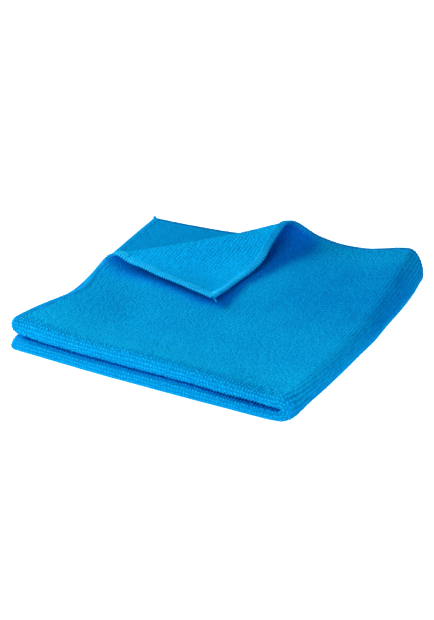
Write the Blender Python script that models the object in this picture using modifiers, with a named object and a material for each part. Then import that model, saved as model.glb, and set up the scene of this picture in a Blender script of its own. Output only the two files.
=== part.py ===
"""Microfibre cloth folded in quarter, the loose corner of its top layer peeled over.

One square sheet is folded front edge first, then round to the right, so four layers lie
a little apart: their two bundles end in rounded noses along the front, and the right side
is one fold wrapped round another. The sheet is worked out point by point from its flat
place, as (s, t): s runs left to right and t front to back through the cloth's middle.
Metres, +Z up, origin on the surface below the middle of the folded cloth.
"""
from collections import namedtuple
from math import pi

import bmesh
import bpy
import numpy as np
from mathutils import Matrix

MM = 0.001

# Driving dimensions, in millimetres.
SIDE = 400.0                # cut side of the square
THICKNESS = 2.2             # cloth with its pile
RIGHT_LINE = 199.9          # where the right-hand fold's own middle would lie flat
FOLD_OFF_MIDDLE = (0.3, 2.3)    # how far the folds lie off the cloth's middle, along s and t
SLIP_LENGTH = 60.0          # distance over which outer and inner leaves creep apart
FLAP_ROOM = 1.0             # air between the peeled corner and the layer it lies on

# Places across the folded square, away from the right-hand fold and from the front fold.
COLUMN_PLACES = (0.0, 14.0, 50.0, 100.0, 150.0, 200.0)
Row = namedtuple("Row", "back right shoulder inner middle outer left")
# Half the space between the two leaves of a bundle. The first row is the noses' radius.
LEAF_ROWS = (
    Row(back=0.0, right=3.1, shoulder=2.5, inner=3.7, middle=4.4, outer=4.3, left=4.6),
    Row(back=40.0, right=2.0, shoulder=2.0, inner=2.0, middle=2.0, outer=2.0, left=2.6),
    Row(back=110.0, right=2.3, shoulder=2.1, inner=1.75, middle=1.7, outer=1.7, left=1.7),
    Row(back=200.0, right=3.9, shoulder=3.8, inner=3.2, middle=2.0, outer=2.1, left=2.4),
)
# Half the space between the bundles' middles. The right column is the right fold's radius.
STACK_ROWS = (
    Row(back=0.0, right=4.7, shoulder=4.9, inner=5.5, middle=6.1, outer=5.8, left=6.3),
    Row(back=40.0, right=6.7, shoulder=6.0, inner=4.4, middle=4.3, outer=4.2, left=7.8),
    Row(back=110.0, right=7.5, shoulder=6.9, inner=5.2, middle=3.3, outer=4.8, left=4.9),
    Row(back=200.0, right=8.2, shoulder=10.4, inner=7.1, middle=7.6, outer=5.6, left=4.7),
)

# The diagonal crease of the peeled corner, from the left edge to the rear edge.
CreaseEnd = namedtuple("CreaseEnd", "x y lead lead_turn roll over settle")
CREASE_LEFT = CreaseEnd(x=4.0, y=101.1, lead=11.9, lead_turn=54.4, roll=4.55, over=31.2, settle=14.0)
CREASE_REAR = CreaseEnd(x=127.1, y=200.0, lead=14.6, lead_turn=22.1, roll=8.1, over=43.7, settle=29.3)

# How high the peeled corner's two hems stand off the cloth, and how far in the lift reaches.
Lift = namedtuple("Lift", "height reach")
LEFT_HEM_LIFT = Lift(height=4.0, reach=32.0)
REAR_HEM_LIFT = Lift(height=1.1, reach=26.0)
LIFT_SETTLE = 15.0          # distance past the roll over which the lift comes in
# How far its rear hem bows out, where along s, how widely, and how far in from the hem.
HEM_BOW, HEM_BOW_PLACE, HEM_BOW_SPREAD, HEM_BOW_REACH = 3.4, -150.0, 14.0, 32.0

# How far the edges bow in plan: the left edge inwards, the right and front ones outwards.
LEFT_BOW, LEFT_BOW_PLACE, LEFT_BOW_SPREAD = 8.1, 62.5, 38.0
RIGHT_BOW = 5.3
RIGHT_DRAW, RIGHT_DRAW_FROM = 1.8, 0.75     # the right fold's rear end, drawn in past this share
FRONT_BOW = 2.55
CORNER_ROUND, CORNER_REACH = 1.9, 16.0      # the front right corner, rounded off
# The inner leaves at the noses' left ends, tucked in by this much in the upper and lower bundle.
END_TUCK_UPPER, END_TUCK_LOWER, END_TUCK_ACROSS, END_TUCK_BACK = 4.0, 2.0, 25.0, 30.0
# The top layer's left edge, let out beside the peeled corner.
EDGE_OUT, EDGE_OUT_PLACE, EDGE_OUT_SPREAD, EDGE_OUT_ACROSS = 3.5, 94.0, 16.0, 60.0

# Rows of faces, as distances from a fold line: close together round the folds.
FACE_LINES = (0.0, 1.7, 3.4, 5.1, 6.8, 9.0, 12.0, 16.5, 24.0, 36.0, 52.0, 70.0,
              88.0, 116.0, 144.0, 172.0, 187.0, 200.0)
FLAP_FROM = 88.0            # the peeled corner's faces, past this on s and t, are cut finer
FLAP_CUTS = 5

CLOTH_BLUE = (0.004, 0.225, 0.610, 1.0)
CLOTH_ROUGHNESS = 0.92


def ease(share):
    """A soft step from 0 to 1."""
    share = np.clip(share, 0.0, 1.0)
    return share * share * (3.0 - 2.0 * share)


def curve_through(places, values, at):
    """Smooth curve through values, one for each place, level at both ends."""
    slopes = [np.zeros_like(values[0])]
    for before, after, start, end in zip(values, values[2:], places, places[2:]):
        slopes.append((after - before) / (end - start))
    slopes.append(np.zeros_like(values[0]))
    result = np.zeros_like(at) + values[-1]
    for index in reversed(range(len(places) - 1)):
        length = places[index + 1] - places[index]
        share = np.clip((at - places[index]) / length, 0.0, 1.0)
        span = (values[index] * (1.0 + 2.0 * share) * (1.0 - share) ** 2
                + values[index + 1] * share ** 2 * (3.0 - 2.0 * share)
                + slopes[index] * length * share * (1.0 - share) ** 2
                + slopes[index + 1] * length * share ** 2 * (share - 1.0))
        result = np.where(at < places[index + 1], span, result)
    return result


def over_square(rows, from_right, from_front):
    """A table's value at a place in the folded square."""
    from_right = from_right + 0.0 * from_front
    from_front = from_front + 0.0 * from_right
    along = [curve_through(COLUMN_PLACES, [level + 0.0 * from_right for level in row[1:]], from_right)
             for row in rows]
    return curve_through([row.back for row in rows], along, from_front)


def leaf_slip(from_front, outer):
    """Extra length that a leaf takes to go round the right-hand fold."""
    return outer * over_square(LEAF_ROWS, 0.0, from_front) * ease(from_front / SLIP_LENGTH)


def fold_in_quarter(s, t):
    """Bend the front fold, then the right-hand one. The underside stays flat."""
    s = s + FOLD_OFF_MIDDLE[0]
    t = t + FOLD_OFF_MIDDLE[1]
    from_right, from_front, outer = np.abs(s), np.abs(t), np.sign(t)
    leaf = over_square(LEAF_ROWS, from_right, from_front)
    stack = over_square(STACK_ROWS, from_right, from_front)
    nose = over_square(LEAF_ROWS, from_right, 0.0)
    spine = over_square(STACK_ROWS, 0.0, from_front)
    slip = leaf_slip(from_front, outer)

    curl = np.minimum(from_front / nose, pi / 2)
    y = nose * (1.0 - np.cos(curl)) + from_front - curl * nose
    offset = outer * leaf * np.sin(curl)

    bend = np.minimum(from_right / (spine + slip), pi / 2)
    inward = spine + from_right - bend * (spine + slip) - (spine + offset) * np.cos(bend)
    above_middle = (stack + offset) * np.sin(bend)
    z = THICKNESS / 2 + leaf + stack + np.where(s < 0.0, above_middle, -above_middle)

    inner_side = ((1.0 - outer * np.sin(curl)) / 2.0) ** 2
    tuck = np.where(s < 0.0, END_TUCK_UPPER, END_TUCK_LOWER) * inner_side
    tuck = tuck * np.exp(-(from_front / END_TUCK_BACK) ** 2)
    tuck = tuck * ease((from_right - SIDE / 2 + END_TUCK_ACROSS) / END_TUCK_ACROSS)
    return RIGHT_LINE - inward + tuck, y, z


def top_layer_height(x, y):
    """Height of the top layer over a place in plan."""
    quarter_turn = pi / 2
    from_front = y + (quarter_turn - 1.0) * over_square(LEAF_ROWS, RIGHT_LINE - x, 0.0)
    spine = over_square(STACK_ROWS, 0.0, from_front)
    from_right = RIGHT_LINE - x + (quarter_turn - 1.0) * spine + quarter_turn * leaf_slip(from_front, 1.0)
    leaf = over_square(LEAF_ROWS, from_right, from_front)
    return 2.0 * (leaf + over_square(STACK_ROWS, from_right, from_front))


def follow(runs, reach):
    """Walk along (length, turn) runs in a vertical plane, then straight on."""
    along, up = np.minimum(reach, 0.0), np.zeros_like(reach)
    left, heading = np.maximum(reach, 0.0), np.zeros_like(reach)
    for length, turn in runs:
        part = np.minimum(left, length)
        bend = turn * part / length
        chord = part * np.sinc(bend / 2 / pi)
        along = along + chord * np.cos(heading + bend / 2)
        up = up + chord * np.sin(heading + bend / 2)
        heading = heading + bend
        left = left - part
    return along + left * np.cos(heading), up + left * np.sin(heading)


def hem_lift(s, t, past_roll):
    """How much higher than the rest the peeled corner's hems stand."""
    left = np.clip(1.0 - (SIDE / 2 + s) / LEFT_HEM_LIFT.reach, 0.0, 1.0) ** 2
    rear = np.clip(1.0 - (SIDE / 2 - t) / REAR_HEM_LIFT.reach, 0.0, 1.0) ** 2
    lift = LEFT_HEM_LIFT.height * left + REAR_HEM_LIFT.height * rear * (1.0 - left)
    return lift * ease(past_roll / LIFT_SETTLE)


def top_layer(s, t):
    """True on the top one of the four layers."""
    return (s + FOLD_OFF_MIDDLE[0] < 0.0) & (t + FOLD_OFF_MIDDLE[1] > 0.0)


def hem_bow(s, t):
    """How far the peeled corner's rear hem bows out to the right."""
    along = np.exp(-((s - HEM_BOW_PLACE) / HEM_BOW_SPREAD) ** 2)
    return HEM_BOW * along * ease(1.0 - (SIDE / 2 - t) / HEM_BOW_REACH) * top_layer(s, t)


def peel_corner(s, t, x, y, z):
    """Roll the top layer's loose corner over the diagonal crease and lay it on the cloth."""
    start = np.array((CREASE_LEFT.x, CREASE_LEFT.y))
    end = np.array((CREASE_REAR.x, CREASE_REAR.y))
    crease_length = np.linalg.norm(end - start)
    along = (end - start) / crease_length
    outward = np.array((-along[1], along[0]))
    place = (x - start[0]) * along[0] + (y - start[1]) * along[1]
    beyond = (x - start[0]) * outward[0] + (y - start[1]) * outward[1]

    rearward = ease(place / crease_length)
    blend = {name: getattr(CREASE_LEFT, name) * (1.0 - rearward) + getattr(CREASE_REAR, name) * rearward
             for name in CreaseEnd._fields}
    lead, roll = blend["lead"], blend["roll"]
    turn, over = np.radians(blend["lead_turn"]), np.radians(blend["over"])
    fall = (lead * (1.0 - np.cos(turn)) / turn + roll * (np.cos(turn) + np.cos(over))
            - THICKNESS - FLAP_ROOM)
    settle = np.minimum(blend["settle"], fall * over / (1.0 - np.cos(over)))
    straight = (fall - settle * (1.0 - np.cos(over)) / over) / np.sin(over) + MM
    runs = ((lead, turn), (roll * (pi - turn + over), pi - turn + over),
            (straight, 0.0), (settle, -over))
    reach, up = follow(runs, beyond + lead)
    reach = reach - lead

    peeled = top_layer(s, t) & (beyond > -lead)
    new_x = start[0] + along[0] * place + outward[0] * reach
    new_y = start[1] + along[1] * place + outward[1] * reach
    new_z = z + up + top_layer_height(new_x, new_y) - top_layer_height(x, y)
    new_z = new_z + hem_lift(s, t, beyond - pi * roll)
    return np.where(peeled, new_x, x), np.where(peeled, new_y, y), np.where(peeled, new_z, z)


def bow_edges(x, y):
    """Let the folded square's sides run as unevenly as real ones."""
    across, back = np.clip(x / (SIDE / 2), 0.0, 1.0), np.clip(y / (SIDE / 2), 0.0, 1.0)
    left = LEFT_BOW * (1.0 - across) * np.exp(-((y - LEFT_BOW_PLACE) / LEFT_BOW_SPREAD) ** 2)
    right = RIGHT_BOW * across * np.sin(pi * back)
    drawn = np.clip((back - RIGHT_DRAW_FROM) / (1.0 - RIGHT_DRAW_FROM), 0.0, 1.0)
    right = right - RIGHT_DRAW * across * drawn ** 2
    front = FRONT_BOW * (1.0 - back) * np.sin(pi * across)
    to_corner = (1.0 - (RIGHT_LINE - x) / CORNER_REACH, 1.0 - y / CORNER_REACH)
    near = np.clip(to_corner[0], 0.0, 1.0) ** 2 * np.clip(to_corner[1], 0.0, 1.0) ** 2
    return x + left + right - CORNER_ROUND * near, y - front + CORNER_ROUND * near


def folded_place(s, t):
    """Where the flat cloth's point (s, t) lies once folded, all in millimetres."""
    x, y, z = fold_in_quarter(s, t)
    edge_out = EDGE_OUT * ease(1.0 - x / EDGE_OUT_ACROSS) * top_layer(s, t)
    edge_out = edge_out * np.exp(-((y - EDGE_OUT_PLACE) / EDGE_OUT_SPREAD) ** 2)
    x, y, z = peel_corner(s, t, x, y, z)
    x, y = bow_edges(x, y)
    return np.stack((x - edge_out + hem_bow(s, t), y, z), axis=-1)


def flat_sheet():
    """A square grid of faces in the flat cloth's own millimetres, finer at the loose corner."""
    lines = [-line for line in reversed(FACE_LINES)] + list(FACE_LINES[1:])
    segments = len(lines) - 1
    sheet = bmesh.new()
    bmesh.ops.create_grid(sheet, x_segments=segments, y_segments=segments, size=segments / 2)
    for vertex in sheet.verts:
        column = round(vertex.co.x + segments / 2)
        row = round(vertex.co.y + segments / 2)
        vertex.co = (lines[column], lines[row], 0.0)
    loose_corner = [edge for edge in sheet.edges
                    if all(end.co.x <= -FLAP_FROM and end.co.y >= FLAP_FROM for end in edge.verts)]
    bmesh.ops.subdivide_edges(sheet, edges=loose_corner, cuts=FLAP_CUTS, use_grid_fill=True)
    return sheet


def cloth_material():
    material = bpy.data.materials.new("cloth_blue")
    material.use_nodes = True
    shader = material.node_tree.nodes["Principled BSDF"]
    shader.inputs["Base Color"].default_value = CLOTH_BLUE
    shader.inputs["Roughness"].default_value = CLOTH_ROUGHNESS
    shader.inputs["Metallic"].default_value = 0.0
    return material


def make_cloth(collection):
    sheet = flat_sheet()
    flat = np.array([vertex.co[:2] for vertex in sheet.verts])
    for vertex, place in zip(sheet.verts, folded_place(flat[:, 0], flat[:, 1]) * MM):
        vertex.co = place
    bmesh.ops.triangulate(sheet, faces=sheet.faces, quad_method="LONG_EDGE")
    mesh = bpy.data.meshes.new("cloth")
    sheet.to_mesh(mesh)
    sheet.free()
    mesh.materials.append(cloth_material())
    mesh.shade_smooth()
    cloth = bpy.data.objects.new("cloth", mesh)
    collection.objects.link(cloth)

    solid = cloth.modifiers.new("thickness", "SOLIDIFY")
    solid.thickness = THICKNESS * MM
    solid.offset = 0.0
    solid.use_even_offset = True
    return cloth


def centre_on_origin(thing):
    """Move the mesh so that the finished solid stands centred on the origin."""
    finished = thing.evaluated_get(bpy.context.evaluated_depsgraph_get())
    corners = np.array([corner[:] for corner in finished.bound_box])
    low, high = corners.min(axis=0), corners.max(axis=0)
    middle = (low + high) / 2
    thing.data.transform(Matrix.Translation((-middle[0], -middle[1], -low[2])))


def main():
    for old in list(bpy.data.objects):
        bpy.data.objects.remove(old, do_unlink=True)
    collection = bpy.data.collections.new("microfibre_cloth")
    bpy.context.scene.collection.children.link(collection)
    cloth = make_cloth(collection)
    bpy.context.view_layer.update()
    centre_on_origin(cloth)


main()
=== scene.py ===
from collections import namedtuple
from functools import partial
from math import cos, pi, radians, sin

import bpy
import numpy as np
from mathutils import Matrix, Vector
from mathutils.bvhtree import BVHTree


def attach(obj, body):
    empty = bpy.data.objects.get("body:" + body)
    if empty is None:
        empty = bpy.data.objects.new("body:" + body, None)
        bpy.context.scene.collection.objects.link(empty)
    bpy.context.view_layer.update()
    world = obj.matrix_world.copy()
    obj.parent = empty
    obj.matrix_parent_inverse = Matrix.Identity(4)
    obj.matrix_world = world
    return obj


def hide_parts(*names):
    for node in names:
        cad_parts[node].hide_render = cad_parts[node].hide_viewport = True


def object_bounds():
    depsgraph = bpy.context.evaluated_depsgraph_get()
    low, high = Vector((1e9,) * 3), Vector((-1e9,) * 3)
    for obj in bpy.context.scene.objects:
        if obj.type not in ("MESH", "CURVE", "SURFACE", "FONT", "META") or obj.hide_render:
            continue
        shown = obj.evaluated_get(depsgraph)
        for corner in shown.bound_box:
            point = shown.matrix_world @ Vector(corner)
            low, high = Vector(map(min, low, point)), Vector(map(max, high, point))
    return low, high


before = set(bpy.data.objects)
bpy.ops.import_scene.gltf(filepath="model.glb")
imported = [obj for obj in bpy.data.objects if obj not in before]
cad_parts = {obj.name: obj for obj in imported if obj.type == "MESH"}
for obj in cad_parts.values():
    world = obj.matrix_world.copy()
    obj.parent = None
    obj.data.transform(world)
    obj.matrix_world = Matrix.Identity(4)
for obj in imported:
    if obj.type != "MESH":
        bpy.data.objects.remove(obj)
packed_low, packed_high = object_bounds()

# A microfibre cloth folded in quarter, the loose corner of its top layer peeled over.
# Sizes are in millimetres up to the point where a mesh is made. A flat place on the
# cloth is s across, from its left edge to its right one, and t from front to rear,
# both counted from the middle. The tufted face ends up outside.
MM = 0.001

# ---- the folded sheet
SIDE = 400.0
HALF = SIDE / 2
THICKNESS = 2.2
RIGHT_LINE = 199.9
FOLD_OFF_MIDDLE = (0.3, 2.3)
SLIP_LENGTH = 60.0
FLAP_ROOM = 1.0
COLUMN_PLACES = (0.0, 14.0, 50.0, 100.0, 150.0, 200.0)
Row = namedtuple("Row", "back right shoulder inner middle outer left")
LEAF_ROWS = (
    Row(0.0, 3.1, 2.5, 3.7, 4.4, 4.3, 4.6),
    Row(40.0, 2.0, 2.0, 2.0, 2.0, 2.0, 2.6),
    Row(110.0, 2.3, 2.1, 1.75, 1.7, 1.7, 1.7),
    Row(200.0, 3.9, 3.8, 3.2, 2.0, 2.1, 2.4),
)
STACK_ROWS = (
    Row(0.0, 4.7, 4.9, 5.5, 6.1, 5.8, 6.3),
    Row(40.0, 6.7, 6.0, 4.4, 4.3, 4.2, 7.8),
    Row(110.0, 7.5, 6.9, 5.2, 3.3, 4.8, 4.9),
    Row(200.0, 8.2, 10.4, 7.1, 7.6, 5.6, 4.7),
)
CreaseEnd = namedtuple("CreaseEnd", "x y lead lead_turn roll over settle")
CREASE_LEFT = CreaseEnd(x=4.0, y=101.1, lead=11.9, lead_turn=54.4, roll=4.55, over=31.2, settle=14.0)
CREASE_REAR = CreaseEnd(x=127.1, y=200.0, lead=14.6, lead_turn=22.1, roll=8.1, over=43.7, settle=29.3)
Lift = namedtuple("Lift", "height reach")
LEFT_HEM_LIFT = Lift(height=4.0, reach=32.0)
REAR_HEM_LIFT = Lift(height=1.1, reach=26.0)
LIFT_SETTLE = 15.0
LEAST_RUN = 0.001  # the shortest straight part of the peeled corner
HEM_BOW, HEM_BOW_PLACE, HEM_BOW_SPREAD, HEM_BOW_REACH = 3.4, -150.0, 14.0, 32.0
LEFT_BOW, LEFT_BOW_PLACE, LEFT_BOW_SPREAD = 8.1, 62.5, 38.0
RIGHT_BOW = 5.3
RIGHT_DRAW, RIGHT_DRAW_FROM = 1.8, 0.75
FRONT_BOW = 2.55
CORNER_ROUND, CORNER_REACH = 1.9, 16.0
END_TUCK_UPPER, END_TUCK_LOWER, END_TUCK_ACROSS, END_TUCK_BACK = 4.0, 2.0, 25.0, 30.0
EDGE_OUT, EDGE_OUT_PLACE, EDGE_OUT_SPREAD, EDGE_OUT_ACROSS = 3.5, 94.0, 16.0, 60.0

# The knit: tufts in upright columns on the outer face, ribs across on the inner one.
COLUMN_PITCH = 2.07
COURSE_PITCH = 2.0
PILE_ROOT = 0.55  # from the sheet's middle to the foot of its tufts or ribs
HEM_HALF = 0.65
HEM_WIDTH, HEM_BLEND = 4.0, 0.8


def ease(share):
    """A share kept between none and one, level at both ends."""
    share = np.clip(share, 0.0, 1.0)
    return share * share * (3.0 - 2.0 * share)


def grow(at, none, full):
    """A share that is none at one place and full at another, and eases between them."""
    return ease((at - none) / (full - none))


def curve_through(places, values, at):
    """A smooth curve through the values, level at both ends."""
    slopes = [(after - before) / (end - start)
              for before, after, start, end in zip(values, values[2:], places, places[2:])]
    slopes = [0.0, *slopes, 0.0]
    result = np.zeros_like(at) + values[-1]
    for index in reversed(range(len(places) - 1)):
        length = places[index + 1] - places[index]
        share = np.clip((at - places[index]) / length, 0.0, 1.0)
        span = (values[index] * (1.0 + 2.0 * share) * (1.0 - share) ** 2
                + values[index + 1] * share ** 2 * (3.0 - 2.0 * share)
                + slopes[index] * length * share * (1.0 - share) ** 2
                + slopes[index + 1] * length * share ** 2 * (share - 1.0))
        result = np.where(at < places[index + 1], span, result)
    return result


def over_square(rows, from_right, from_front):
    """A level from a table, at distances from the right-hand and front folds."""
    along = [curve_through(COLUMN_PLACES, row[1:], from_right) for row in rows]
    return curve_through([row.back for row in rows], along, from_front)


def leaf_slip(from_front, outer):
    """How far an outer leaf creeps past an inner one where both go round the right-hand fold."""
    return outer * over_square(LEAF_ROWS, 0.0, from_front) * ease(from_front / SLIP_LENGTH)


def fold_in_quarter(s, t):
    """The mid-line of the sheet, folded front to rear and then right to left."""
    s = s + FOLD_OFF_MIDDLE[0]
    t = t + FOLD_OFF_MIDDLE[1]
    from_right, from_front, outer = np.abs(s), np.abs(t), np.sign(t)
    leaf = over_square(LEAF_ROWS, from_right, from_front)
    stack = over_square(STACK_ROWS, from_right, from_front)
    nose = over_square(LEAF_ROWS, from_right, 0.0)
    spine = over_square(STACK_ROWS, 0.0, from_front)
    slip = leaf_slip(from_front, outer)
    curl = np.minimum(from_front / nose, pi / 2)
    y = nose * (1.0 - np.cos(curl)) + from_front - curl * nose
    offset = outer * leaf * np.sin(curl)
    bend = np.minimum(from_right / (spine + slip), pi / 2)
    inward = spine + from_right - bend * (spine + slip) - (spine + offset) * np.cos(bend)
    above_middle = (stack + offset) * np.sin(bend)
    z = THICKNESS / 2 + leaf + stack + np.where(s < 0.0, above_middle, -above_middle)
    inner_side = ((1.0 - outer * np.sin(curl)) / 2.0) ** 2
    tuck = np.where(s < 0.0, END_TUCK_UPPER, END_TUCK_LOWER) * inner_side
    tuck = tuck * np.exp(-(from_front / END_TUCK_BACK) ** 2)
    tuck = tuck * ease((from_right - HALF + END_TUCK_ACROSS) / END_TUCK_ACROSS)
    return RIGHT_LINE - inward + tuck, y, z


def top_layer_height(x, y):
    """How high the top layer lies over the lowest, on the plan."""
    quarter_turn = pi / 2
    from_front = y + (quarter_turn - 1.0) * over_square(LEAF_ROWS, RIGHT_LINE - x, 0.0)
    spine = over_square(STACK_ROWS, 0.0, from_front)
    from_right = RIGHT_LINE - x + (quarter_turn - 1.0) * spine + quarter_turn * leaf_slip(from_front, 1.0)
    leaf = over_square(LEAF_ROWS, from_right, from_front)
    return 2.0 * (leaf + over_square(STACK_ROWS, from_right, from_front))


def follow(runs, reach):
    """Along and up after a reach over runs of (length, turn)."""
    along, up = np.minimum(reach, 0.0), np.zeros_like(reach)
    left, heading = np.maximum(reach, 0.0), np.zeros_like(reach)
    for length, turn in runs:
        part = np.minimum(left, length)
        bend = turn * part / length
        chord = part * np.sinc(bend / 2 / pi)
        along = along + chord * np.cos(heading + bend / 2)
        up = up + chord * np.sin(heading + bend / 2)
        heading = heading + bend
        left = left - part
    return along + left * np.cos(heading), up + left * np.sin(heading)


def crease_places(x, y):
    """Distance along the peeled corner's crease from its left end, and beyond it, on the plan."""
    along = np.array((CREASE_REAR.x - CREASE_LEFT.x, CREASE_REAR.y - CREASE_LEFT.y))
    length = np.linalg.norm(along)
    along = along / length
    place = (x - CREASE_LEFT.x) * along[0] + (y - CREASE_LEFT.y) * along[1]
    beyond = (y - CREASE_LEFT.y) * along[0] - (x - CREASE_LEFT.x) * along[1]
    return along, length, place, beyond


def top_layer(s, t):
    """True on the top one of the four layers."""
    return (s + FOLD_OFF_MIDDLE[0] < 0.0) & (t + FOLD_OFF_MIDDLE[1] > 0.0)


def hem_bow(s, t):
    """How far the peeled corner's rear hem bows out to the right."""
    along = np.exp(-((s - HEM_BOW_PLACE) / HEM_BOW_SPREAD) ** 2)
    return HEM_BOW * along * ease(1.0 - (HALF - t) / HEM_BOW_REACH) * top_layer(s, t)


def hem_lift(s, t, past_roll):
    """How much higher than the rest the peeled corner's hems stand."""
    left = np.clip(1.0 - (HALF + s) / LEFT_HEM_LIFT.reach, 0.0, 1.0) ** 2
    rear = np.clip(1.0 - (HALF - t) / REAR_HEM_LIFT.reach, 0.0, 1.0) ** 2
    lift = LEFT_HEM_LIFT.height * left + REAR_HEM_LIFT.height * rear * (1.0 - left)
    return lift * ease(past_roll / LIFT_SETTLE)


def peel_corner(s, t, x, y, z):
    """The loose corner of the top layer, rolled over a crease and lying back on the cloth."""
    along, length, place, beyond = crease_places(x, y)
    rearward = ease(place / length)
    blend = {name: getattr(CREASE_LEFT, name) * (1.0 - rearward) + getattr(CREASE_REAR, name) * rearward
             for name in CreaseEnd._fields}
    lead, roll = blend["lead"], blend["roll"]
    turn, over = np.radians(blend["lead_turn"]), np.radians(blend["over"])
    fall = (lead * (1.0 - np.cos(turn)) / turn + roll * (np.cos(turn) + np.cos(over))
            - THICKNESS - FLAP_ROOM)
    settle = np.minimum(blend["settle"], fall * over / (1.0 - np.cos(over)))
    straight = (fall - settle * (1.0 - np.cos(over)) / over) / np.sin(over) + LEAST_RUN
    runs = ((lead, turn), (roll * (pi - turn + over), pi - turn + over),
            (straight, 0.0), (settle, -over))
    reach, up = follow(runs, beyond + lead)
    reach = reach - lead
    peeled = top_layer(s, t) & (beyond > -lead)
    new_x = CREASE_LEFT.x + along[0] * place - along[1] * reach
    new_y = CREASE_LEFT.y + along[1] * place + along[0] * reach
    new_z = z + up + top_layer_height(new_x, new_y) - top_layer_height(x, y)
    new_z = new_z + hem_lift(s, t, beyond - pi * roll)
    return np.where(peeled, new_x, x), np.where(peeled, new_y, y), np.where(peeled, new_z, z)


def bow_edges(x, y):
    """The uneven outline: the left edge drawn in, the right and front folds bowed out."""
    across, back = np.clip(x / HALF, 0.0, 1.0), np.clip(y / HALF, 0.0, 1.0)
    left = LEFT_BOW * (1.0 - across) * np.exp(-((y - LEFT_BOW_PLACE) / LEFT_BOW_SPREAD) ** 2)
    right = RIGHT_BOW * across * np.sin(pi * back)
    drawn = np.clip((back - RIGHT_DRAW_FROM) / (1.0 - RIGHT_DRAW_FROM), 0.0, 1.0)
    right = right - RIGHT_DRAW * across * drawn ** 2
    front = FRONT_BOW * (1.0 - back) * np.sin(pi * across)
    to_corner = (1.0 - (RIGHT_LINE - x) / CORNER_REACH, 1.0 - y / CORNER_REACH)
    near = np.clip(to_corner[0], 0.0, 1.0) ** 2 * np.clip(to_corner[1], 0.0, 1.0) ** 2
    return x + left + right - CORNER_ROUND * near, y - front + CORNER_ROUND * near


def folded_place(s, t):
    """Where a flat place lies once the cloth is folded, on the sheet's mid-line."""
    x, y, z = fold_in_quarter(s, t)
    edge_out = EDGE_OUT * ease(1.0 - x / EDGE_OUT_ACROSS) * top_layer(s, t)
    edge_out = edge_out * np.exp(-((y - EDGE_OUT_PLACE) / EDGE_OUT_SPREAD) ** 2)
    x, y, z = peel_corner(s, t, x, y, z)
    x, y = bow_edges(x, y)
    return np.stack((x - edge_out + hem_bow(s, t), y, z), axis=-1)


def unit(vectors):
    """Each vector at a length of one."""
    return vectors / np.linalg.norm(vectors, axis=-1, keepdims=True)


def surface_at(s, t):
    """Place, normal of the tufted face, and the directions of s and t along the folded sheet."""
    step = 0.05
    place = folded_place(s, t)
    along_s = unit(folded_place(s + step, t) - folded_place(s - step, t))
    along_t = unit(folded_place(s, t + step) - folded_place(s, t - step))
    return place, unit(np.cross(along_s, along_t)), along_s, along_t


# ---- where the knit stands proud
PILE_LEAST = 0.15  # a tuft or rib with a smaller share of its height is left out
GROOVE_END = -13.0  # the t where the pile ends, inside the front groove
TABLE_FACING = 0.2  # a face whose normal rises less than this can lie on the table
TABLE_CLEAR = 0.5  # the lowest tufts stand this far over it


def outer_pile(s, t, place, normal):
    """Share of tuft height on the tufted face: none where it lies on the table or is shut in."""
    over_table = grow(place[..., 2] - THICKNESS / 2, none=0.3, full=2.8)
    over_table = np.where((s > 0.0) & (normal[..., 2] < TABLE_FACING), over_table, 1.0)
    return over_table * np.where(t < 0.0, grow(t, none=GROOVE_END, full=-9.0), 1.0)


def inner_pile(s, t):
    """Share of rib height on the inner face, which shows on the peeled corner and where it lay."""
    x, y, z = fold_in_quarter(s, t)
    beyond = crease_places(x, y)[3]
    return grow(beyond, none=-16.0, full=-10.0) * (s < 0.0)


def hem_share(s, t):
    """One in the overlocked edge, none in the cloth."""
    to_edge = HALF - np.maximum(np.abs(s), np.abs(t))
    return 1.0 - ease((to_edge - HEM_WIDTH + HEM_BLEND) / (2.0 * HEM_BLEND))


# ---- how shut in a place is, and where the main light's shadow falls, for the painted shade
SHUT_RAYS = 28
SHUT_REACH = 60.0  # cloth further off than this hides nothing
SHUT_CLEAR = 1.6  # the rays start this far off the sheet, over the pile
SHUT_EVERY = 2  # one line of the sheet in so many is measured
PAINTED_SHADOW_TURNS = (-106.0, -92.0, -78.0, -64.0)  # the azimuths of the rays to the main light,
PAINTED_SHADOW_RISES = (22.0, 32.0, 42.0)  # and their elevations: the left lamp and a little beside it
PAINTED_SHADOW_SHARE = 0.75  # a place in the main light's full shadow gets this much painted shade
PAINTED_SHADOW_NONE, PAINTED_SHADOW_FULL = 30.0, 60.0  # the painted shadow counts from this far off the front and right folds
PaintedShadeMap = namedtuple("PaintedShadeMap", "outer inner")  # each says how much painted shade flat places get, by how shut in they are


def towards(azimuth, elevation):
    """The direction from the cloth to something seen at that azimuth, 0 in front and 90 at the right."""
    around, up = radians(azimuth), radians(elevation)
    return Vector((sin(around) * cos(up), -cos(around) * cos(up), sin(up)))


def sky_rays(count):
    """Directions spread over the half of the sky above a face, closest together overhead."""
    index = np.arange(count)
    around = pi * (3.0 - 5.0 ** 0.5) * index
    flat = np.sqrt((index + 0.5) / count)
    return np.stack((flat * np.cos(around), flat * np.sin(around), np.sqrt(1.0 - flat ** 2)), axis=-1)


def hidden_share(cloth, place, facing, wanted, ways_from, elsewhere):
    """The share of the ways out of each wanted place that the cloth itself bars."""
    share = np.full(len(place), elsewhere)
    for index in np.flatnonzero(wanted):
        start = Vector(place[index] + facing[index] * SHUT_CLEAR)
        barred = [cloth.ray_cast(start, Vector(way), SHUT_REACH)[0] is not None
                  for way in ways_from(index)]
        share[index] = sum(barred) / len(barred)
    return share


def shut_in(cloth, place, facing, across, wanted):
    """The share of the sky that the cloth hides from each place, and all of it elsewhere."""
    rays = sky_rays(SHUT_RAYS)
    axes = np.stack((across, np.cross(facing, across), facing), axis=1)
    return hidden_share(cloth, place, facing, wanted, lambda index: rays @ axes[index], 1.0)


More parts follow.
